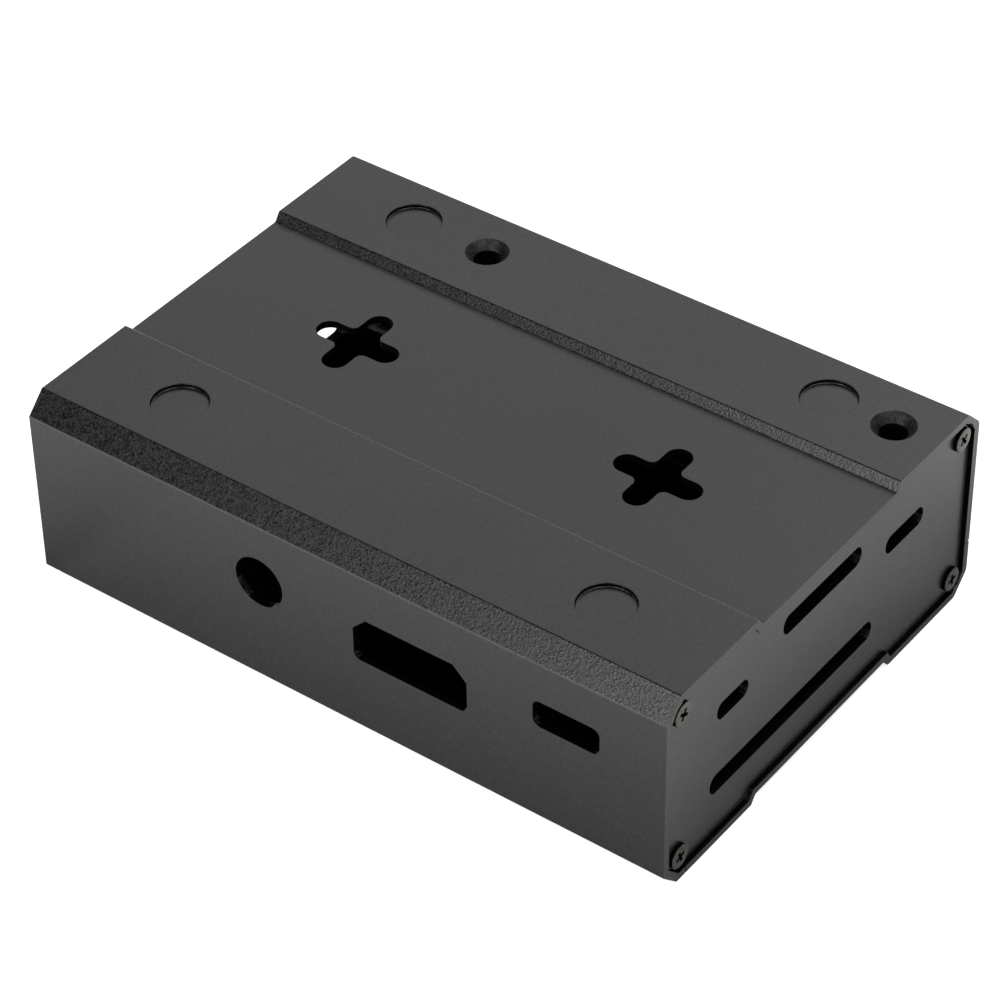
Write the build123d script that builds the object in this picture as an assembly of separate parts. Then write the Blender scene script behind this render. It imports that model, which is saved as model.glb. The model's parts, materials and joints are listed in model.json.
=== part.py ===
from build123d import *
import os

# Case for a small single-board computer: two aluminium extrusions closed by two screwed end plates.
# It lies on its cover, so the base face, with its foot recesses and hanging holes, looks up.
# X runs along the extrusions towards the card end, Y from the port wall to the back wall, Z up.
# The origin is the middle of the face that the case rests on. Sizes are in millimetres.

# Extruded section
CASE_LENGTH = 90.0
CASE_WIDTH = 63.6
CASE_HEIGHT = 27.8
WALL = 1.0
CORNER_CHAMFER = 2.6
STRIP_WIDTH = 17.4
RECESS_DEPTH = 1.15
RECESS_RUN = 0.8
EDGE_ROUND = 0.3
SEAM_HEIGHT = 7.2
SEAM_GAP = 0.1
SEAM_ROUND = 0.25
FOOT_LIP = 4.4
TONGUE_THICKNESS = 0.8
TONGUE_RISE = 2.0
TONGUE_ROOT = 2.2
RIB_WIDTH = 9.4
RIB_HEIGHT = 1.2

# Board that the case is made for: it drives the ports, and isn't built
BOARD_LENGTH = 85.0
BOARD_WIDTH = 56.0
BOARD_FRONT_GAP = 1.8
BOARD_FACE_HEIGHT = 19.4
HOLE_INSET = 3.5
HOLE_SPACING = 58.0

# Port openings, from the board's card end along the board and down from its component face
AUDIO_FROM_END = 53.5
AUDIO_DROP = 2.45
AUDIO_DIAMETER = 6.8
DISPLAY_FROM_END = 32.0
DISPLAY_DROP = 3.55
DISPLAY_WIDTH = 15.9
DISPLAY_HEIGHT = 6.3
DISPLAY_CHAMFER = 1.85
DISPLAY_ROUND = 0.9
POWER_FROM_END = 10.6
POWER_DROP = 1.45
POWER_WIDTH = 8.9
POWER_HEIGHT = 3.7
POWER_ROUND = 1.0

# Base face
FOOT_RECESS_DIAMETER = 6.9
FOOT_RECESS_DEPTH = 0.5
FOOT_SPACING_X = 60.4
FOOT_SPACING_Y = 44.4
CROSS_SPACING = 43.2
CROSS_LENGTH = 11.7
CROSS_WIDTH = 3.3
CROSS_ROUND = 0.9
PATTERN_OFFSET = 0.3
SCREW_HOLE_DIAMETER = 3.4
COUNTERSINK_DIAMETER = 5.5
COUNTERSINK_ANGLE = 90.0

# End plates
PLATE_THICKNESS = 1.5
PLATE_SET_BACK = 0.55
PLATE_CLEARANCE = 0.15
PLATE_ROUND = 0.3

# Card-end slots: middle across the case, middle height, length and height of each
SLOT_LIGHTS = (-17.9, 18.3, 6.1, 2.1)
SLOT_CARD = (-0.1, 21.4, 16.0, 2.4)
SLOT_AERIAL = (17.3, 18.2, 8.1, 2.2)
SLOT_RIBBON = (-5.4, 7.9, 33.1, 2.4)

# Connector-end openings, from the board's port edge across the board
NETWORK_FROM_EDGE = 10.25
NETWORK_WIDTH = 16.4
NETWORK_HEIGHT = 14.0
USB_FROM_EDGE = (29.0, 47.0)
USB_WIDTH = 13.8
USB_HEIGHT = 15.8
CONNECTOR_TOP_GAP = 0.4
CONNECTOR_ROUND = 1.0

# End-plate screws and the channels that take them
SCREW_INSET = 3.3
SCREW_SHANK_DIAMETER = 1.9
SCREW_HEAD_DIAMETER = 3.3
SCREW_HEAD_HEIGHT = 0.5
SCREW_HEAD_CHAMFER = 0.12
SCREW_REACH = 5.0
SCREW_TIP = 0.3
DRIVE_LENGTH = 2.1
DRIVE_WIDTH = 0.45
DRIVE_DEPTH = 0.35
DRIVE_TAPER_ANGLE = 20.0
CHANNEL_DIAMETER = 4.8
FRONT_CHANNEL_DIAMETER = 3.3
CHANNEL_BORE_GAP = 0.05
PLATE_HOLE_GAP = 0.15
LEDGE_WIDTH = 2.3

# Cutting tools reach this far past the faces that they cut
OVERCUT = 1.0

# Worked-out places
HALF_LENGTH = CASE_LENGTH / 2
HALF_WIDTH = CASE_WIDTH / 2
CARD_END = BOARD_LENGTH / 2
BOARD_FRONT = BOARD_FRONT_GAP - HALF_WIDTH
SCREW_LINE = BOARD_FRONT + BOARD_WIDTH - HOLE_INSET
PLATE_OUTSIDE = HALF_LENGTH - PLATE_SET_BACK
PLATE_INSIDE = PLATE_OUTSIDE - PLATE_THICKNESS
CHANNEL_BORE = SCREW_SHANK_DIAMETER + 2 * CHANNEL_BORE_GAP
LOW_CHANNEL = SCREW_INSET
HIGH_CHANNEL = CASE_HEIGHT - SCREW_INSET
SIDE_CHANNEL = HALF_WIDTH - SCREW_INSET


def rectangle(y_low, y_high, z_low, z_high):
    """Rectangle in the section plane, between two places across and two heights."""
    middle = ((y_low + y_high) / 2, (z_low + z_high) / 2)
    return Pos(*middle) * Rectangle(y_high - y_low, z_high - z_low)


def run_along(section, half_length):
    """Solid that the section makes when it is drawn out along X, both ways from the middle."""
    return extrude(Plane.YZ * section, half_length, both=True)


def quarter_outline():
    """Corner points of the outer section from its side to its middle, for the upper half."""
    side, top = HALF_WIDTH, CASE_HEIGHT
    strip_end = HALF_WIDTH - STRIP_WIDTH
    return [
        (side, top - CORNER_CHAMFER),
        (side - CORNER_CHAMFER, top),
        (strip_end, top),
        (strip_end - RECESS_RUN, top - RECESS_DEPTH),
    ]


def outer_section():
    """Outside of the case: four chamfered corners and a shallow recess in the upper and lower face."""
    quarter = quarter_outline()
    upper = quarter + [(-y, z) for y, z in reversed(quarter)]
    lower = [(y, CASE_HEIGHT - z) for y, z in reversed(upper)]
    return make_face(Polyline(*upper, *lower, close=True))


def rounded(section, radius):
    """Section with every corner rounded."""
    return fillet(section.vertices(), radius)


def wall_section():
    """Closed wall of even thickness that the two extrusions share."""
    outside = outer_section()
    inside = offset(outside, -WALL, kind=Kind.INTERSECTION)
    return rounded(outside, EDGE_ROUND) - inside


def cover_zone(gap):
    """Part of the section that belongs to the cover, grown by a gap to clear the base."""
    front = FOOT_LIP - HALF_WIDTH - gap
    return rectangle(front, HALF_WIDTH + OVERCUT, -OVERCUT, SEAM_HEIGHT + gap)


def eased_at_seam(section, height):
    """Section with its outer corner at the seam rounded."""
    corner = section.vertices().sort_by_distance((HALF_WIDTH, height))[:1]
    return fillet(corner, SEAM_ROUND)


def channel(side, height, diameter):
    """Round screw channel of the section, still without its bore."""
    return Pos(side * SIDE_CHANNEL, height) * Circle(diameter / 2)


def bore(side, height):
    """Bore of a screw channel."""
    return Pos(side * SIDE_CHANNEL, height) * Circle(CHANNEL_BORE / 2)


def base_inside_section():
    """Channels in the upper corners, and ribs that back the foot recesses and the screw holes."""
    shape = Sketch()
    for side in (-1, 1):
        middle = side * FOOT_SPACING_Y / 2
        underside = CASE_HEIGHT - WALL
        shape += channel(side, HIGH_CHANNEL, CHANNEL_DIAMETER)
        shape += rectangle(middle - RIB_WIDTH / 2, middle + RIB_WIDTH / 2, underside - RIB_HEIGHT, underside)
    return shape


def cover_inside_section():
    """Channels in the lower corners, the ledge over the base's lip and the tongue behind the seam."""
    front = FOOT_LIP - HALF_WIDTH
    ledge_bottom = WALL + SEAM_GAP
    ledge_front = -SIDE_CHANNEL
    tongue_back = HALF_WIDTH - WALL - SEAM_GAP
    tongue_front = tongue_back - TONGUE_THICKNESS
    shape = channel(-1, LOW_CHANNEL, FRONT_CHANNEL_DIAMETER) + channel(1, LOW_CHANNEL, CHANNEL_DIAMETER)
    shape += rectangle(ledge_front, ledge_front + LEDGE_WIDTH, ledge_bottom, LOW_CHANNEL)
    shape += rectangle(front, ledge_front + LEDGE_WIDTH, WALL / 2, ledge_bottom)
    shape += rectangle(tongue_front, tongue_back, SEAM_HEIGHT - TONGUE_ROOT, SEAM_HEIGHT + TONGUE_RISE)
    shape += rectangle(tongue_front, HALF_WIDTH - WALL / 2, SEAM_HEIGHT - TONGUE_ROOT, SEAM_HEIGHT)
    return shape


def cross_outline():
    """Four-way hanging hole: two crossed slots with rounded ends and eased inner corners."""
    arms = SlotOverall(CROSS_LENGTH, CROSS_WIDTH) + Rot(0, 0, 90) * SlotOverall(CROSS_LENGTH, CROSS_WIDTH)
    corner = CROSS_WIDTH / 2
    inner = [v for v in arms.vertices() if abs(abs(v.X) - corner) + abs(abs(v.Y) - corner) < CROSS_ROUND / 10]
    return fillet(inner, CROSS_ROUND)


def foot_recesses():
    """Round pockets in the base face for stick-on feet."""
    pocket = extrude(Circle(FOOT_RECESS_DIAMETER / 2), FOOT_RECESS_DEPTH + OVERCUT)
    middle = Pos(0, PATTERN_OFFSET, CASE_HEIGHT - FOOT_RECESS_DEPTH)
    return [middle * spot * pocket for spot in GridLocations(FOOT_SPACING_X, FOOT_SPACING_Y, 2, 2)]


def hanging_holes():
    """Crosses cut through the recessed middle of the base face."""
    cutter = extrude(cross_outline(), WALL + 2 * OVERCUT)
    middle = Pos(0, PATTERN_OFFSET, CASE_HEIGHT - RECESS_DEPTH - WALL - OVERCUT)
    return [middle * spot * cutter for spot in GridLocations(CROSS_SPACING, 0, 2, 1)]


def board_screw_holes():
    """Countersunk holes over the board's two back mounting holes."""
    cutters = []
    for from_end in (HOLE_INSET, HOLE_INSET + HOLE_SPACING):
        place = Pos(CARD_END - from_end, SCREW_LINE, CASE_HEIGHT)
        cutters.append(place * CounterSinkHole(
            radius=SCREW_HOLE_DIAMETER / 2,
            counter_sink_radius=COUNTERSINK_DIAMETER / 2,
            depth=WALL + RIB_HEIGHT + OVERCUT,
            counter_sink_angle=COUNTERSINK_ANGLE,
            mode=Mode.PRIVATE,
        ))
    return cutters


def through_port_wall(outline, from_end, drop):
    """Cutter for a hole in the port wall, its outline seen from outside with +X to the right."""
    plane = Plane(
        origin=(CARD_END - from_end, OVERCUT + WALL - HALF_WIDTH, BOARD_FACE_HEIGHT - drop),
        x_dir=(1, 0, 0),
        z_dir=(0, -1, 0),
    )
    return extrude(plane * outline, WALL + 2 * OVERCUT)


def display_outline():
    """Display port opening: chamfered above, small rounds below."""
    shape = Rectangle(DISPLAY_WIDTH, DISPLAY_HEIGHT)
    corners = shape.vertices().sort_by(Axis.Y)
    shape = chamfer(corners[2:], DISPLAY_CHAMFER)
    return fillet(shape.vertices().sort_by(Axis.Y)[:2], DISPLAY_ROUND)


def ports():
    """Openings in the port wall for sound, display and power."""
    power = RectangleRounded(POWER_WIDTH, POWER_HEIGHT, POWER_ROUND)
    return [
        through_port_wall(Circle(AUDIO_DIAMETER / 2), AUDIO_FROM_END, AUDIO_DROP),
        through_port_wall(display_outline(), DISPLAY_FROM_END, DISPLAY_DROP),
        through_port_wall(power, POWER_FROM_END, POWER_DROP),
    ]


def base_shell():
    """Base: face with recesses and hanging holes, port wall and upper part of the back wall."""
    wall = eased_at_seam(wall_section() - cover_zone(SEAM_GAP), SEAM_HEIGHT + SEAM_GAP)
    body = run_along(wall, HALF_LENGTH)
    body += run_along(base_inside_section(), PLATE_INSIDE)
    for side in (-1, 1):
        body -= run_along(bore(side, HIGH_CHANNEL), HALF_LENGTH)
    for cutter in foot_recesses() + hanging_holes() + board_screw_holes() + ports():
        body -= cutter
    return body


def cover_shell():
    """Cover: face that the case lies on, with a low back wall that meets the base's."""
    body = run_along(eased_at_seam(wall_section() & cover_zone(0), SEAM_HEIGHT), HALF_LENGTH)
    body += run_along(cover_inside_section(), PLATE_INSIDE)
    for side in (-1, 1):
        body -= run_along(bore(side, LOW_CHANNEL), HALF_LENGTH)
    return body


def plate_blank():
    """Outline of an end plate: the inside of the case with its screw holes."""
    inside = offset(outer_section(), -WALL - PLATE_CLEARANCE, kind=Kind.INTERSECTION)
    blank = rounded(inside, PLATE_ROUND)
    hole = Circle(SCREW_SHANK_DIAMETER / 2 + PLATE_HOLE_GAP)
    for side, height in screw_places():
        blank -= Pos(side * SIDE_CHANNEL, height) * hole
    return blank


def screw_places():
    """Side and height of each screw of an end plate."""
    return [(side, height) for side in (-1, 1) for height in (LOW_CHANNEL, HIGH_CHANNEL)]


def end_plate(section, end):
    """Plate of the given section, at the card end (1) or the connector end (-1)."""
    start = PLATE_INSIDE if end > 0 else -PLATE_OUTSIDE
    return Pos(start, 0, 0) * extrude(Plane.YZ * section, PLATE_THICKNESS)


def card_end_plate():
    """Plate with slots for the lights, the memory card, the aerial and a ribbon cable."""
    section = plate_blank()
    for middle, height, length, thickness in (SLOT_LIGHTS, SLOT_CARD, SLOT_AERIAL, SLOT_RIBBON):
        section -= Pos(middle, height) * SlotOverall(length, thickness)
    return end_plate(section, 1)


def connector_end_plate():
    """Plate with openings for the network socket and the two stacks of USB sockets."""
    section = plate_blank()
    sizes = [(NETWORK_FROM_EDGE, NETWORK_WIDTH, NETWORK_HEIGHT)]
    sizes += [(place, USB_WIDTH, USB_HEIGHT) for place in USB_FROM_EDGE]
    top = BOARD_FACE_HEIGHT + CONNECTOR_TOP_GAP
    for place, width, height in sizes:
        middle = Pos(BOARD_FRONT + place, top - height / 2)
        section -= middle * RectangleRounded(width, height, CONNECTOR_ROUND)
    return end_plate(section, -1)


def drive_recess():
    """Tapered cross recess of a screw head, cut down from the head's top."""
    blade = extrude(Rectangle(DRIVE_LENGTH, DRIVE_WIDTH), -DRIVE_DEPTH, taper=DRIVE_TAPER_ANGLE)
    return blade + Rot(0, 0, 90) * blade


def screw():
    """Pan-head screw along Z, with the seat of its head at the origin."""
    head = extrude(Circle(SCREW_HEAD_DIAMETER / 2), SCREW_HEAD_HEIGHT)
    head = chamfer(head.edges().sort_by(Axis.Z)[-1], SCREW_HEAD_CHAMFER)
    shank = extrude(Circle(SCREW_SHANK_DIAMETER / 2), -SCREW_REACH)
    shank = chamfer(shank.edges().sort_by(Axis.Z)[0], SCREW_TIP)
    return head + shank - Pos(0, 0, SCREW_HEAD_HEIGHT) * drive_recess()


def end_plate_screws(end):
    """The four screws of one end plate, as separate solids."""
    turn = Rot(0, 90 * end, 0)
    places = [Pos(end * PLATE_OUTSIDE, side * SIDE_CHANNEL, height) for side, height in screw_places()]
    return Compound(children=[place * turn * screw() for place in places])


PARTS = {
    "base_shell": base_shell(),
    "cover_shell": cover_shell(),
    "card_end_plate": card_end_plate(),
    "connector_end_plate": connector_end_plate(),
    "card_end_screws": end_plate_screws(1),
    "connector_end_screws": end_plate_screws(-1),
}

os.makedirs("parts", exist_ok=True)
for name, shape in PARTS.items():
    export_step(shape, f"parts/{name}.step")
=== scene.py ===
"""Looks of the single-board computer case: blasted and anodised aluminium, black screws, studio light."""

import json
from math import pi, radians

import bpy
from mathutils import Matrix, Vector

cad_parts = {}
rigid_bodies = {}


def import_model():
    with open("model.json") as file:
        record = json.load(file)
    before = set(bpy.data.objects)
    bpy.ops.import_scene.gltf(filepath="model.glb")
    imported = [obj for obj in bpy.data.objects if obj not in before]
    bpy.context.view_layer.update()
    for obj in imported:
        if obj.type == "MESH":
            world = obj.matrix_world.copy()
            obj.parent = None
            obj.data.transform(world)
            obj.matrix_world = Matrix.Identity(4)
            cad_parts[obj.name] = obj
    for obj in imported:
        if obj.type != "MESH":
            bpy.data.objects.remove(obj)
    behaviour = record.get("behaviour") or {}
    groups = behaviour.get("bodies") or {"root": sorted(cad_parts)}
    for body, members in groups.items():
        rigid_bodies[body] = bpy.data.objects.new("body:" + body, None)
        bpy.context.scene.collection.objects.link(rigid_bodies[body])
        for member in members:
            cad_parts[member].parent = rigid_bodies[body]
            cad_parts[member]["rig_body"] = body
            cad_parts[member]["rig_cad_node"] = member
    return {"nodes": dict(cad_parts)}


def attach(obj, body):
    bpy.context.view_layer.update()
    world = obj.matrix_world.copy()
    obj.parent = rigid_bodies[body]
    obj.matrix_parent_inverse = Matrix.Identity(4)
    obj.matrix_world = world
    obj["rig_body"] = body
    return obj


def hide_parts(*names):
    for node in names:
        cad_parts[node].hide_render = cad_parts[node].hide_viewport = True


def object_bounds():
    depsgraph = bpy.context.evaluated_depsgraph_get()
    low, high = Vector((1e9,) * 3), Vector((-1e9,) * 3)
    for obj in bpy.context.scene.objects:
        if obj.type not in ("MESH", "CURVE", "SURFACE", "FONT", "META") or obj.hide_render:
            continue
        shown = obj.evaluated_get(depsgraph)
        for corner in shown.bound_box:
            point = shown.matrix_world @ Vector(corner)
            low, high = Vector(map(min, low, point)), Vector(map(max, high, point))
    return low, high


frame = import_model()
CASE_LOW, CASE_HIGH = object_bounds()

MM = 0.001
BODY = "root"

# Joined faces and broken edges of the shells and plates
MERGE_DISTANCE = 0.002 * MM
FLAT_ANGLE = radians(0.6)
SHARP_ANGLE = radians(32)
SHELL_EDGE = 0.09 * MM
PLATE_EDGE = 0.07 * MM
EDGE_STEPS = 2
NORMAL_WEIGHT = 100

# Upright part of a face's normal: least and most on a slope, most on a recess's wall
SLOPE_LEAST = 0.3
SLOPE_MOST = 0.9
WALL_MOST = 0.5

# Countersinks: places on the base face. Edges with a painted highlight: places on the case's section
SINKS = ((39.0 * MM, 22.5 * MM), (-19.0 * MM, 22.5 * MM))
SINK_RADIUS = 2.8 * MM
HIGHLIGHT_EDGES = ((-14.4 * MM, 27.8 * MM), (-31.8 * MM, 25.2 * MM))
HIGHLIGHT_REACH = 0.3 * MM

# Outer surface, inside which the faces get the painted shade: half length and half width, depth at the recess and
# at the strips
OUTER_REACH = (44.35 * MM, 31.5 * MM)
OUTER_DEPTH = 1.4 * MM
STRIP_DEPTH = 0.9 * MM
STRIP_INSIDE = 14.8 * MM

# Foot recesses
RECESS_X = 30.2 * MM
RECESS_Y = 22.2 * MM
RECESS_MIDDLE_Y = 0.3 * MM
RECESSES = [(x, RECESS_MIDDLE_Y + y) for x in (-RECESS_X, RECESS_X) for y in (-RECESS_Y, RECESS_Y)]
RECESS_RADIUS = 3.45 * MM
RECESS_DEPTH = 0.5 * MM
RECESS_CORNER = 0.16 * MM
RECESS_RIM = 0.12 * MM
RECESS_STEPS = 4
RECESS_NEAR = 0.02 * MM

# Back corners of the shells: place across, distance from the outer face, and how many times rounder they get
BACK_CORNERS = ((29.2 * MM, 0.0, 2.5), (31.8 * MM, 2.6 * MM, 4.5))
CORNER_NEAR = 0.14 * MM

# Relief in the shells' ends round the screw heads
RELIEF_RADIUS = 2.1 * MM
RELIEF_SIDES = 96
RELIEF_START = 44.3 * MM
RELIEF_END = 45.5 * MM

# Corners of the end plates at the strips' slopes, moved out to meet the shells
STEP_ACROSS = (14.0 * MM, 15.2 * MM)
STEP_UP = (25.45 * MM, 26.7 * MM)
STEP_SHIFT_ACROSS = 0.13 * MM
STEP_SHIFT_UP = 0.15 * MM

# Slots of the card end plate: middle across the case, middle height, length and thickness of each opening.
# All are moved by the two shifts, and their long sides are moved apart by the side shift each
SLOTS = (
    (-17.9 * MM, 18.3 * MM, 6.1 * MM, 2.1 * MM),
    (-0.1 * MM, 21.4 * MM, 16.0 * MM, 2.4 * MM),
    (17.3 * MM, 18.2 * MM, 8.1 * MM, 2.2 * MM),
    (-5.4 * MM, 7.9 * MM, 33.1 * MM, 2.4 * MM),
)
SLOT_NEAR = 0.1 * MM
SLOT_SHIFT_ACROSS = -0.33 * MM
SLOT_SHIFT_UP = 0.41 * MM
SLOT_SIDE_SHIFT = 0.18 * MM

# Screws: places on the case's section, from the middle of its rest face; the lower ones are in the cover shell
SCREW_SIDE = 28.5 * MM
COVER_SCREW_HEIGHT = 3.3 * MM
BASE_SCREW_HEIGHT = 24.5 * MM
SCREW_SEAT = 44.45 * MM
SCREW_HEAD_RADIUS = 1.56 * MM
SCREW_HEAD_HEIGHT = 0.5 * MM
SCREW_HEAD_EDGE = 0.1 * MM
SCREW_HEAD_STEPS = 3
SCREW_HEAD_SIDES = 64
SCREW_SHANK_RADIUS = 0.95 * MM
SCREW_SHANK_SIDES = 32
SCREW_REACH = 5.0 * MM
SCREW_TIP = 0.3 * MM

# Cross recess: half sizes of a blade at its upper end, which is above the head, its floor as a share of them,
# and the turn of each cross in degrees
CROSS_REACH = 1.22 * MM
CROSS_HALF_WIDTH = 0.29 * MM
CROSS_DEPTH = 0.9 * MM
CROSS_FLOOR_REACH = 0.3
CROSS_FLOOR_WIDTH = 0.5
CROSS_TURNS = (20, 62, 5, 38)

# Picking a screw's edges and faces: share of a length that counts as its end, and how squarely a face looks
AT_END = 0.9
AT_HEAD_TOP = 0.8
SQUARELY = 0.9
UPWARDS = 0.3

# Patterns: the middle of a noise pattern, where nearly all its values lie
NOISE_MIDDLE = (0.3, 0.7)

# Blasted finish of the shells and plates. Speckle, fine grain and pits are finer or coarser by a factor
SHELL_BLASTING = {"dark": 0.002, "light": 0.016, "grain": 3800.0, "depth": 0.055 * MM}
PLATE_BLASTING = {"dark": 0.008, "light": 0.042, "grain": 6500.0, "depth": 0.03 * MM}
SPECKLE_GRAIN = 0.75
FINE_GRAIN = 2.3
FINE_BUMP = 0.08
FLAT_BUMP = 0.03
FLAT_ROUGHNESS = (0.29, 0.32)
CLOUD_SCALE = 45.0
# Colour of the painted highlight along two edges of the case
PAINTED_HIGHLIGHT_LEVEL = 0.09

# Coarse pits of the slopes; their lighter speckles are partly real grain and partly painted glints
PIT_GRAIN = 1.35
PIT_HEIGHT = 0.42
SLOPE_SPREAD = (0.25, 0.85)
SLOPE_DARK = 0.003
SLOPE_GLINT_LIGHT = 0.045
SLOPE_BUMP = 0.23
SLOPE_ROUGHNESS = (0.33, 0.22)

# Countersinks, cut after the blasting; their darker colour is a painted shade
CUT_SPREAD = (0.4, 0.9)
SINK_SHADE_DARK = 0.0004
SINK_SHADE_LIGHT = 0.035
CUT_SMOOTHING = 0.5
CUT_ROUGHNESS = (0.46, 0.54)

# Painted shade: near-black, rough finish with little specular inside the case, in its openings and on the foot
# recesses' walls
INNER_SPECULAR = 0.06
INNER_GRAIN = 1800.0
PAINTED_SHADE_DARK = 0.0004
PAINTED_SHADE_LIGHT = 0.0016
INNER_ROUGHNESS = (0.7, 0.8)
INNER_BUMP = 0.2
INNER_DEPTH = 0.01 * MM

# Black oxide of the screws; in the cross and below the head's top a painted shade: near-black and rougher
OXIDE_GRAIN = 2600.0
OXIDE_DARK = (0.055, 0.049, 0.042, 1.0)
OXIDE_LIGHT = (0.11, 0.1, 0.088, 1.0)
OXIDE_ROUGHNESS = (0.22, 0.34)
OXIDE_BUMP = 0.3
OXIDE_DEPTH = 0.01 * MM
PAINTED_SHADE_LEVEL = 0.003
DULL_ROUGHER = 0.4

# Camera
CAMERA_PLACE = (203.6 * MM, -269.88 * MM, 293.78 * MM)
CAMERA_TURN = radians(37.101)
CAMERA_TILT = radians(39.72)
CAMERA_ROLL = radians(-0.871)
CAMERA_LENS = 133.99
SENSOR_WIDTH = 36.0
NEAREST_SEEN = 0.02
FURTHEST_SEEN = 20.0

# Floor: its colour, its brightness to the camera, and its brightness as mirrored, which is less near the case: a
# painted shade
FLOOR_SIZE = 4.0
FLOOR_PATTERN = 6.0
FLOOR_DARK = 0.78
FLOOR_LIGHT = 0.8
FLOOR_ROUGHNESS = 0.9
FLOOR_SEEN = 0.82
PAINTED_SHADE_BESIDE = 0.2
BESIDE_REACH = 42.0 * MM
PAINTED_END_SHADE = 0.17
END_REACH = 12.0 * MM

# Surroundings as mirrored: white up to the first height, and black from the second one
HORIZON = (0.05, 0.3)

# Lamps: name, place, size and power
LAMP_AIM = (0.0, 0.0, 0.01)
LAMPS = (
    ("back_lamp", (-0.42, 0.58, 0.60), (0.6, 0.6), 1.43),
    ("back_right_lamp", (0.0, 0.65, 0.65), (0.5, 0.5), 1.24),
    ("front_lamp", (-0.08, -0.47, 0.34), (0.22, 0.30), 1.24),
    ("overhead_lamp", (0.28, 0.0, 0.76), (0.4, 0.4), 2.03),
    ("right_lamp", (0.8, 0.0, 0.45), (0.5, 0.5), 0.56),
)


def deselect():
    """Clears the selection, so that an operator touches only what is chosen next."""
    bpy.ops.object.select_all(action="DESELECT")


def choose(piece):
    """Makes the piece the only one selected, and the active one."""
    deselect()
    piece.select_set(True)
    bpy.context.view_layer.objects.active = piece


def remove(piece):
    """Takes a helper piece away again."""
    bpy.data.objects.remove(piece, do_unlink=True)


def apply_place():
    """Applies the selected objects' places, turns and scales to their meshes."""
    bpy.ops.object.transform_apply(location=True, rotation=True, scale=True)


def apply_modifier(piece, kind, **settings):
    """Adds a modifier with the given settings and applies it."""
    choose(piece)
    modifier = piece.modifiers.new(kind.lower(), kind)
    for key, value in settings.items():
        setattr(modifier, key, value)
    bpy.ops.object.modifier_apply(modifier=modifier.name)


def combine(piece, helper, operation):
    """Adds the helper piece to the piece or cuts it out of it, and takes the helper away."""
    apply_modifier(piece, "BOOLEAN", operation=operation, object=helper, solver="EXACT")
    remove(helper)


def select_mesh(piece, kind, wanted):
    """Opens the piece for editing with only the wanted faces ("polygons") or edges selected."""
    choose(piece)
    bpy.ops.object.mode_set(mode="EDIT")
    bpy.ops.mesh.select_mode(type={"polygons": "FACE", "edges": "EDGE"}[kind])
    bpy.ops.mesh.select_all(action="DESELECT")
    bpy.ops.object.mode_set(mode="OBJECT")
    for element in getattr(piece.data, kind):
        element.select = wanted(element)
    bpy.ops.object.mode_set(mode="EDIT")


def near_any(first, second, places, reach):
    """Whether a point, given by two of its coordinates, lies within reach of any of the places."""
    return any(Vector((first - a, second - b)).length < reach for a, b in places)


def mark_surfaces(piece):
    """Marks slopes, countersinks and the edges that get a painted highlight, and gives the faces inside, and the
    foot recesses' walls, the second finish, a painted shade.
    """
    marks = {name: piece.data.attributes.new(name, "FLOAT", "FACE") for name in ("coarse_blast", "cut", "painted_highlight")}
    for face in piece.data.polygons:
        middle = face.center
        upright = abs(face.normal.z)
        slope = SLOPE_LEAST < upright < SLOPE_MOST
        in_sink = slope and near_any(middle.x, middle.y, SINKS, SINK_RADIUS)
        # Edges that get a painted highlight
        on_highlight_edge = near_any(middle.y, middle.z, HIGHLIGHT_EDGES, HIGHLIGHT_REACH)
        for name, state in (("coarse_blast", slope), ("cut", in_sink), ("painted_highlight", on_highlight_edge)):
            marks[name].data[face.index].value = float(state)
        depth = STRIP_DEPTH if abs(middle.y) > STRIP_INSIDE else OUTER_DEPTH
        inside = (abs(middle.x) < OUTER_REACH[0] and abs(middle.y) < OUTER_REACH[1]
                  and depth < middle.z < CASE_HIGH.z - depth)
        in_recess = (upright < WALL_MOST and middle.z > CASE_HIGH.z - RECESS_DEPTH
                     and near_any(middle.x, middle.y, RECESSES, RECESS_RADIUS + RECESS_NEAR))
        # Painted shade: the faces inside and the foot recesses' walls get the near-black second finish
        face.material_index = int((inside and not slope) or in_recess)


def ease_foot_recesses(piece):
    """Rounds the rims of the foot recesses and the corners at their floors, as the cutter leaves them."""
    points = piece.data.vertices

    def on_ring(height):
        def near(place):
            return abs(place.z - height) < RECESS_NEAR and any(
                abs(Vector((place.x - x, place.y - y)).length - RECESS_RADIUS) < RECESS_NEAR
                for x, y in RECESSES)
        return lambda edge: all(near(points[i].co) for i in edge.vertices)

    for height, width in ((CASE_HIGH.z - RECESS_DEPTH, RECESS_CORNER), (CASE_HIGH.z, RECESS_RIM)):
        select_mesh(piece, "edges", on_ring(height))
        bpy.ops.mesh.bevel(offset=width, segments=RECESS_STEPS, affect="EDGES")
        bpy.ops.object.mode_set(mode="OBJECT")


def round_back_corners(piece):
    """Makes the rounding along the shell's back corners larger, each about the corner's own line."""
    for point in piece.data.vertices:
        place = point.co
        for across, depth, times in BACK_CORNERS:
            for height in (depth, CASE_HIGH.z - depth):
                if Vector((place.y - across, place.z - height)).length < CORNER_NEAR:
                    place.y = across + (place.y - across) * times
                    place.z = height + (place.z - height) * times
                    break


def relieve_screw_heads(piece, height):
    """Cuts a round relief into the shell's ends round each screw head at the given height."""
    for end in (-1, 1):
        for side in (-1, 1):
            deselect()
            bpy.ops.mesh.primitive_cylinder_add(
                vertices=RELIEF_SIDES, radius=RELIEF_RADIUS, depth=RELIEF_END - RELIEF_START,
                location=(end * (RELIEF_START + RELIEF_END) / 2, side * SCREW_SIDE, height),
                rotation=(0, pi / 2, 0))
            cutter = bpy.context.object
            apply_place()
            combine(piece, cutter, "DIFFERENCE")


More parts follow.
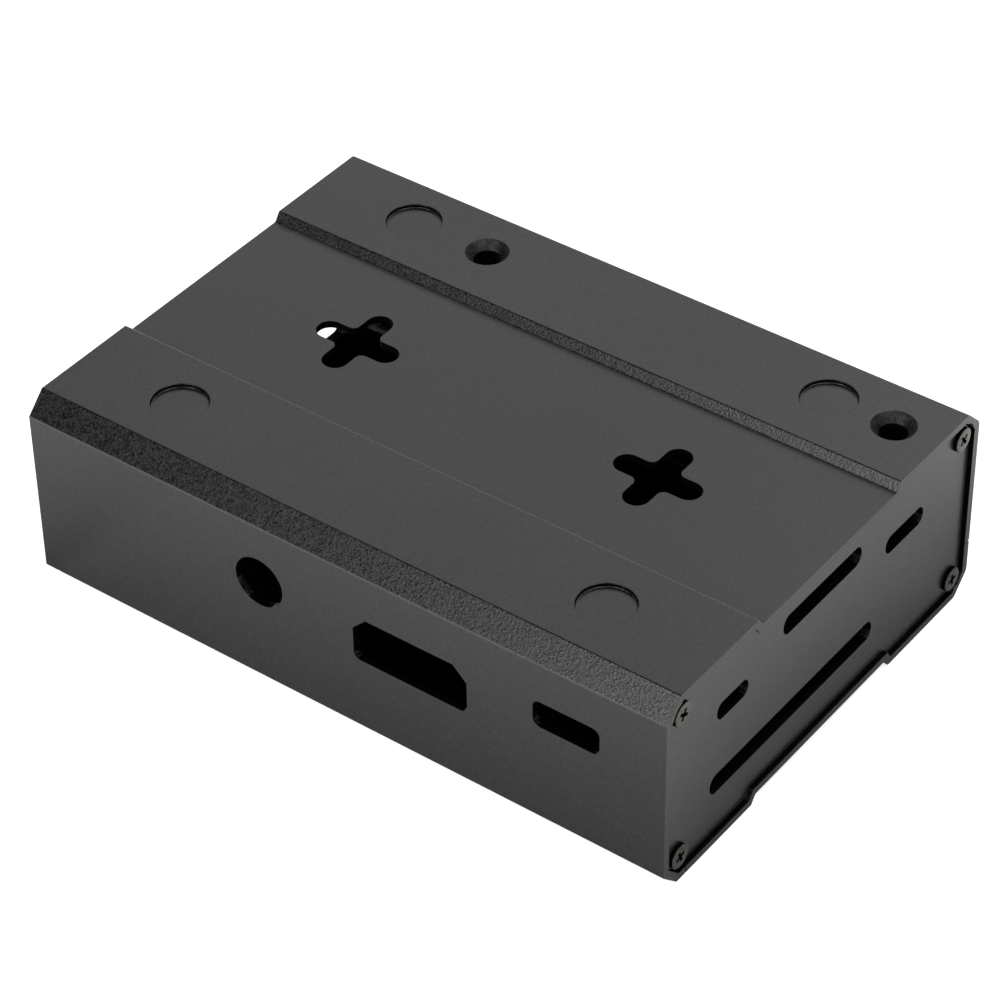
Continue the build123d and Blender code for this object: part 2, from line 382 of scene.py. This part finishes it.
def ease_base_shell(piece):
    """Finishes the foot recesses, the back corners and the ends of the base shell."""
    ease_foot_recesses(piece)
    round_back_corners(piece)
    relieve_screw_heads(piece, BASE_SCREW_HEIGHT)


def ease_cover_shell(piece):
    """Finishes the back corners and the ends of the cover shell."""
    round_back_corners(piece)
    relieve_screw_heads(piece, COVER_SCREW_HEIGHT)


def meet_strips(piece):
    """Moves the end plate's corners at the strips' slopes out to the shells."""
    for point in piece.data.vertices:
        place = point.co
        if STEP_ACROSS[0] < abs(place.y) < STEP_ACROSS[1] and STEP_UP[0] < place.z < STEP_UP[1]:
            place.y += STEP_SHIFT_ACROSS if place.y < 0 else -STEP_SHIFT_ACROSS
            place.z += STEP_SHIFT_UP


def ease_card_plate(piece):
    """Finishes the card end plate's corners, and sets its slots to the measured outlines."""
    meet_strips(piece)
    for point in piece.data.vertices:
        place = point.co
        for across, height, length, thickness in SLOTS:
            if (abs(place.y - across) < length / 2 + SLOT_NEAR
                    and abs(place.z - height) < thickness / 2 + SLOT_NEAR):
                place.z += SLOT_SHIFT_UP + SLOT_SIDE_SHIFT * (place.z - height) / (thickness / 2)
                place.y += SLOT_SHIFT_ACROSS
                break


def skin(node, edge, finishes, ease):
    """Finished form of a CAD node: joined faces, its own easing, broken edges and smooth curves."""
    choose(frame["nodes"][node])
    bpy.ops.object.duplicate()
    piece = bpy.context.object
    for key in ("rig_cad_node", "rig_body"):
        del piece[key]
    piece.parent = None
    piece.name = node + "_skin"
    piece.data.name = piece.name
    bpy.ops.object.mode_set(mode="EDIT")
    bpy.ops.mesh.select_all(action="SELECT")
    bpy.ops.mesh.remove_doubles(threshold=MERGE_DISTANCE)
    bpy.ops.mesh.dissolve_limited(angle_limit=FLAT_ANGLE)
    bpy.ops.object.mode_set(mode="OBJECT")
    ease(piece)
    bpy.ops.object.shade_flat()
    apply_modifier(piece, "BEVEL", width=edge, segments=EDGE_STEPS, limit_method="ANGLE",
                   angle_limit=SHARP_ANGLE, use_clamp_overlap=True, harden_normals=False)
    choose(piece)
    bpy.ops.object.shade_smooth_by_angle(angle=SHARP_ANGLE)
    apply_modifier(piece, "WEIGHTED_NORMAL", mode="FACE_AREA", weight=NORMAL_WEIGHT, keep_sharp=True)
    piece.data.materials.clear()
    for finish in finishes:
        piece.data.materials.append(finish)
    mark_surfaces(piece)
    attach(piece, BODY)
    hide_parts(node)


def span_along(piece, edge):
    """Lowest and highest point of an edge along the screw's axis."""
    heights = [piece.data.vertices[i].co.z for i in edge.vertices]
    return min(heights), max(heights)


def screw_head():
    """Flat round head with an eased edge, its seat at the origin."""
    deselect()
    bpy.ops.mesh.primitive_cylinder_add(vertices=SCREW_HEAD_SIDES, radius=SCREW_HEAD_RADIUS,
                                        depth=SCREW_HEAD_HEIGHT, location=(0, 0, SCREW_HEAD_HEIGHT / 2))
    head = bpy.context.object
    apply_place()
    select_mesh(head, "edges", lambda edge: span_along(head, edge)[0] > SCREW_HEAD_HEIGHT * AT_END)
    bpy.ops.mesh.bevel(offset=SCREW_HEAD_EDGE, segments=SCREW_HEAD_STEPS, affect="EDGES")
    bpy.ops.object.mode_set(mode="OBJECT")
    return head


def screw_shank():
    """Plain shank below the seat, with a chamfered tip."""
    deselect()
    bpy.ops.mesh.primitive_cylinder_add(vertices=SCREW_SHANK_SIDES, radius=SCREW_SHANK_RADIUS,
                                        depth=SCREW_REACH, location=(0, 0, -SCREW_REACH / 2))
    shank = bpy.context.object
    apply_place()
    select_mesh(shank, "edges", lambda edge: span_along(shank, edge)[1] < -SCREW_REACH * AT_END)
    bpy.ops.mesh.bevel(offset=SCREW_TIP, segments=1, affect="EDGES")
    bpy.ops.object.mode_set(mode="OBJECT")
    return shank


def cross_blade(turn):
    """One tapered blade of the cross recess, reaching past the head's top."""
    deselect()
    bpy.ops.mesh.primitive_cube_add(size=2.0, location=(0, 0, 0))
    blade = bpy.context.object
    blade.scale = (CROSS_REACH, CROSS_HALF_WIDTH, CROSS_DEPTH)
    blade.location = (0, 0, SCREW_HEAD_HEIGHT)
    apply_place()
    select_mesh(blade, "polygons", lambda face: face.normal.z < -SQUARELY)
    bpy.ops.transform.resize(value=(CROSS_FLOOR_REACH, CROSS_FLOOR_WIDTH, 1.0))
    bpy.ops.object.mode_set(mode="OBJECT")
    blade.rotation_euler = (0, 0, turn)
    apply_place()
    return blade


def whole_screw():
    """Screw along Z: head, shank and cross recess, with all but the head's top marked for painted shade."""
    screw = screw_head()
    combine(screw, screw_shank(), "UNION")
    for turn in (0, pi / 2):
        combine(screw, cross_blade(turn), "DIFFERENCE")
    choose(screw)
    bpy.ops.object.shade_smooth_by_angle(angle=SHARP_ANGLE)
    mark = screw.data.attributes.new("painted_shade", "FLOAT", "FACE")
    for face in screw.data.polygons:
        on_top = face.normal.z > UPWARDS and face.center.z > SCREW_HEAD_HEIGHT * AT_HEAD_TOP
        mark.data[face.index].value = float(not on_top)
    return screw


def end_screws(model, end, node, finish):
    """Four copies of the screw in one end plate, each with its cross at another angle."""
    copies = []
    places = [(side * SCREW_SIDE, height)
              for side in (-1, 1) for height in (COVER_SCREW_HEIGHT, BASE_SCREW_HEIGHT)]
    for (across, height), turn in zip(places, CROSS_TURNS):
        choose(model)
        bpy.ops.object.duplicate()
        copy = bpy.context.object
        copy.matrix_world = (Matrix.Translation((end * SCREW_SEAT, across, height))
                             @ Matrix.Rotation(end * pi / 2, 4, "Y") @ Matrix.Rotation(radians(turn), 4, "Z"))
        apply_place()
        copies.append(copy)
    deselect()
    for copy in copies:
        copy.select_set(True)
    bpy.context.view_layer.objects.active = copies[0]
    bpy.ops.object.join()
    group = bpy.context.object
    group.name = node + "_skin"
    group.data.name = group.name
    group.data.materials.clear()
    group.data.materials.append(finish)
    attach(group, BODY)
    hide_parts(node)


class Nodes:
    """Adds and links the nodes of a material or of the surroundings."""

    def __init__(self, owner):
        owner.use_nodes = True
        self.owner = owner
        self.tree = owner.node_tree

    def named(self, name):
        """Node that the tree started with."""
        return self.tree.nodes[name]

    def add(self, kind, **settings):
        """Adds a node and sets its properties."""
        node = self.tree.nodes.new(kind)
        for key, value in settings.items():
            setattr(node, key, value)
        return node

    def feed(self, socket, value):
        """Gives an input socket a plain value, or links another node's output to it."""
        if isinstance(value, bpy.types.NodeSocket):
            self.tree.links.new(value, socket)
        else:
            socket.default_value = value

    def place(self):
        """Object coordinates, in metres."""
        return self.add("ShaderNodeTexCoord").outputs["Object"]

    def mark(self, name):
        """Mark on the piece's faces, from 0 to 1."""
        return self.add("ShaderNodeAttribute", attribute_name=name).outputs["Fac"]

    def noise(self, scale, detail=2.0, roughness=0.5):
        """Noise pattern of the given scale over the object's own coordinates."""
        node = self.add("ShaderNodeTexNoise")
        for key, value in (("Scale", scale), ("Detail", detail), ("Roughness", roughness),
                           ("Vector", self.place())):
            self.feed(node.inputs[key], value)
        return node.outputs["Fac"]

    def cells(self, scale):
        """Random colour for each cell of a cell pattern, which number sockets read as its brightness."""
        node = self.add("ShaderNodeTexVoronoi")
        self.feed(node.inputs["Scale"], scale)
        self.feed(node.inputs["Vector"], self.place())
        return node.outputs["Color"]

    def math(self, operation, *values):
        """Math node on sockets or plain values."""
        node = self.add("ShaderNodeMath", operation=operation)
        for socket, value in zip(node.inputs, values):
            self.feed(socket, value)
        return node.outputs[0]

    def remap(self, value, low, high, to_low=0.0, to_high=1.0):
        """Value spread from one range to another, smoothly and clamped."""
        node = self.add("ShaderNodeMapRange", interpolation_type="SMOOTHSTEP")
        for key, number in (("Value", value), ("From Min", low), ("From Max", high),
                            ("To Min", to_low), ("To Max", to_high)):
            self.feed(node.inputs[key], number)
        return node.outputs["Result"]

    def spread(self, noise, to_low=0.0, to_high=1.0):
        """The middle of a noise pattern, spread over a range."""
        return self.remap(noise, *NOISE_MIDDLE, to_low, to_high)

    def mix(self, factor, dark, light):
        """Colour between two colours or sockets."""
        node = self.add("ShaderNodeMix", data_type="RGBA")
        for index, value in ((0, factor), (6, dark), (7, light)):
            self.feed(node.inputs[index], value)
        return node.outputs[2]

    def blend(self, factor, first, second):
        """Number between two sockets."""
        node = self.add("ShaderNodeMix", data_type="FLOAT")
        for index, value in ((0, factor), (2, first), (3, second)):
            self.feed(node.inputs[index], value)
        return node.outputs[0]

    def bump(self, height, strength, distance):
        """Bump node of a height, whose own normal can still be set."""
        node = self.add("ShaderNodeBump")
        for key, value in (("Height", height), ("Strength", strength), ("Distance", distance)):
            self.feed(node.inputs[key], value)
        return node


def grey(level):
    """Opaque neutral colour."""
    return (level, level, level, 1.0)


def blasted_aluminium(name, dark, light, grain, depth):
    """Black anodised aluminium: fine blasting on the flat faces, coarse pits on the slopes, whose sparkle is
    partly painted as lighter speckles.
    """
    n = Nodes(bpy.data.materials.new(name))
    shader = n.named("Principled BSDF")
    coarse = n.mark("coarse_blast")
    cut = n.mark("cut")
    pits = n.noise(grain, roughness=0.6)
    pit_value = n.cells(grain * PIT_GRAIN)
    fine = n.noise(grain * FINE_GRAIN, roughness=0.6)
    speckle = n.noise(grain * SPECKLE_GRAIN)

    flat_colour = n.mix(n.spread(speckle), grey(dark), grey(light))
    # Partly painted glints: the slopes' speckles reach lighter than the flat faces'
    slope_grain_and_glints = n.mix(n.remap(pit_value, *SLOPE_SPREAD), grey(SLOPE_DARK), grey(SLOPE_GLINT_LIGHT))
    # Painted shade: the countersinks are darker in colour than the slopes
    sink_shaded_colour = n.mix(n.remap(pit_value, *CUT_SPREAD), grey(SINK_SHADE_DARK), grey(SINK_SHADE_LIGHT))
    colour = n.mix(cut, n.mix(coarse, flat_colour, slope_grain_and_glints), sink_shaded_colour)
    # Painted highlight: lighter colour along two edges of the case
    n.feed(shader.inputs["Base Color"], n.mix(n.mark("painted_highlight"), colour, grey(PAINTED_HIGHLIGHT_LEVEL)))

    flat_roughness = n.spread(n.noise(CLOUD_SCALE), *FLAT_ROUGHNESS)
    blasted_roughness = n.blend(coarse, flat_roughness, n.spread(pits, *SLOPE_ROUGHNESS))
    n.feed(shader.inputs["Roughness"], n.blend(cut, blasted_roughness, n.spread(fine, *CUT_ROUGHNESS)))

    pit_height = n.math("ADD", n.spread(pits), n.math("MULTIPLY", pit_value, PIT_HEIGHT))
    pitted = n.math("SUBTRACT", coarse, n.math("MULTIPLY", cut, CUT_SMOOTHING))
    pit_bump = n.bump(pit_height, n.remap(pitted, 0.0, 1.0, FLAT_BUMP, SLOPE_BUMP), depth)
    fine_bump = n.bump(fine, FINE_BUMP, depth)
    n.feed(fine_bump.inputs["Normal"], pit_bump.outputs["Normal"])
    n.feed(shader.inputs["Normal"], fine_bump.outputs["Normal"])
    return n.owner


def painted_shade_black(name):
    """Near-black, rough finish with little specular: painted shade inside the case, in its openings and on the
    foot recesses' walls.
    """
    n = Nodes(bpy.data.materials.new(name))
    shader = n.named("Principled BSDF")
    shader.inputs["Specular IOR Level"].default_value = INNER_SPECULAR
    streaks = n.noise(INNER_GRAIN, detail=3.0, roughness=0.6)
    # Painted shade: near-black colour
    n.feed(shader.inputs["Base Color"], n.mix(n.spread(streaks), grey(PAINTED_SHADE_DARK), grey(PAINTED_SHADE_LIGHT)))
    n.feed(shader.inputs["Roughness"], n.spread(streaks, *INNER_ROUGHNESS))
    n.feed(shader.inputs["Normal"], n.bump(streaks, INNER_BUMP, INNER_DEPTH).outputs["Normal"])
    return n.owner


def black_oxide(name):
    """Brownish black oxide on steel, with faint tumbling marks, and painted shade on all but the heads' tops."""
    n = Nodes(bpy.data.materials.new(name))
    shader = n.named("Principled BSDF")
    shader.inputs["Metallic"].default_value = 1.0
    tumbling = n.noise(OXIDE_GRAIN, detail=3.0, roughness=0.6)
    painted_shade = n.mark("painted_shade")
    colour = n.mix(n.spread(tumbling), OXIDE_DARK, OXIDE_LIGHT)
    # Painted shade: near-black colour on all but the head's top
    n.feed(shader.inputs["Base Color"], n.mix(painted_shade, colour, grey(PAINTED_SHADE_LEVEL)))
    rougher = n.math("MULTIPLY", painted_shade, DULL_ROUGHER)
    n.feed(shader.inputs["Roughness"], n.math("ADD", n.spread(tumbling, *OXIDE_ROUGHNESS), rougher))
    n.feed(shader.inputs["Normal"], n.bump(tumbling, OXIDE_BUMP, OXIDE_DEPTH).outputs["Normal"])
    return n.owner


def floor():
    """Pale floor that the camera sees as white, apart from the case's shadow, with a painted shade near the case
    in its mirrored brightness.
    """
    deselect()
    bpy.ops.mesh.primitive_plane_add(size=FLOOR_SIZE)
    ground = bpy.context.object
    ground.name = "floor"
    n = Nodes(bpy.data.materials.new("pale_floor"))
    shader = n.named("Principled BSDF")
    shader.inputs["Roughness"].default_value = FLOOR_ROUGHNESS
    shader.inputs["Emission Color"].default_value = grey(1.0)
    tint = n.mix(n.spread(n.noise(FLOOR_PATTERN)), grey(FLOOR_DARK), grey(FLOOR_LIGHT))
    n.feed(shader.inputs["Base Color"], tint)

    spot = n.add("ShaderNodeSeparateXYZ")
    n.feed(spot.inputs[0], n.place())
    past_end = n.math("SUBTRACT", n.math("ABSOLUTE", spot.outputs["X"]), CASE_HIGH.x)
    past_side = n.math("SUBTRACT", n.math("ABSOLUTE", spot.outputs["Y"]), CASE_HIGH.y)
    past_case = n.math("MAXIMUM", past_end, past_side)
    at_end = n.math("GREATER_THAN", past_end, 0.0)
    # Painted shade: the floor's mirrored brightness drops near the case and most past its ends
    shade = n.math("MULTIPLY", at_end, n.remap(past_end, 0.0, END_REACH, PAINTED_END_SHADE, 0.0))
    shade_beside = n.remap(past_case, 0.0, BESIDE_REACH, PAINTED_SHADE_BESIDE, 1.0)

    path = n.add("ShaderNodeLightPath")
    seen = n.math("MULTIPLY", path.outputs["Is Camera Ray"], FLOOR_SEEN)
    mirrored = n.math("MULTIPLY", path.outputs["Is Glossy Ray"], n.math("SUBTRACT", shade_beside, shade))
    n.feed(shader.inputs["Emission Strength"], n.math("ADD", seen, mirrored))
    ground.data.materials.append(n.owner)


def surroundings():
    """White background to the camera, and a white horizon as mirrored; they give no other light."""
    n = Nodes(bpy.data.worlds.new("studio"))
    bpy.context.scene.world = n.owner
    back = n.named("Background")
    back.inputs["Color"].default_value = grey(1.0)
    direction = n.add("ShaderNodeSeparateXYZ")
    n.feed(direction.inputs[0], n.add("ShaderNodeTexCoord").outputs["Generated"])
    path = n.add("ShaderNodeLightPath")
    horizon = n.remap(direction.outputs["Z"], *HORIZON, 1.0, 0.0)
    mirrored = n.math("MULTIPLY", path.outputs["Is Glossy Ray"], horizon)
    n.feed(back.inputs["Strength"], n.math("MAXIMUM", path.outputs["Is Camera Ray"], mirrored))


def lamp(name, place, size, power):
    """Soft lamp that points at the case."""
    data = bpy.data.lights.new(name, "AREA")
    data.shape = "RECTANGLE"
    data.size, data.size_y = size
    data.energy = power
    light = bpy.data.objects.new(name, data)
    bpy.context.scene.collection.objects.link(light)
    light.location = place
    light.rotation_euler = (Vector(LAMP_AIM) - Vector(place)).to_track_quat("-Z", "Y").to_euler()


def camera():
    """Camera at the photograph's angle."""
    data = bpy.data.cameras.new("camera")
    data.lens = CAMERA_LENS
    data.sensor_width = SENSOR_WIDTH
    data.clip_start = NEAREST_SEEN
    data.clip_end = FURTHEST_SEEN
    eye = bpy.data.objects.new("camera", data)
    bpy.context.scene.collection.objects.link(eye)
    turn = Matrix.Rotation(CAMERA_TURN, 4, "Z") @ Matrix.Rotation(pi / 2 - CAMERA_TILT, 4, "X")
    eye.matrix_world = Matrix.Translation(CAMERA_PLACE) @ turn @ Matrix.Rotation(CAMERA_ROLL, 4, "Z")
    bpy.context.scene.camera = eye


shell_finish = blasted_aluminium("blasted_black", **SHELL_BLASTING)
plate_finish = blasted_aluminium("blasted_black_plate", **PLATE_BLASTING)
painted_shade_finish = painted_shade_black("painted_shade_black")
screw_finish = black_oxide("black_oxide")

skin("base_shell", SHELL_EDGE, (shell_finish, painted_shade_finish), ease_base_shell)
skin("cover_shell", SHELL_EDGE, (shell_finish, painted_shade_finish), ease_cover_shell)
skin("card_end_plate", PLATE_EDGE, (plate_finish, painted_shade_finish), ease_card_plate)
skin("connector_end_plate", PLATE_EDGE, (plate_finish, painted_shade_finish), meet_strips)
screw_model = whole_screw()
end_screws(screw_model, 1, "card_end_screws", screw_finish)
end_screws(screw_model, -1, "connector_end_screws", screw_finish)
remove(screw_model)

floor()
surroundings()
for name, place, size, power in LAMPS:
    lamp(name, place, size, power)
camera()

bpy.context.scene.view_settings.view_transform = "Standard"
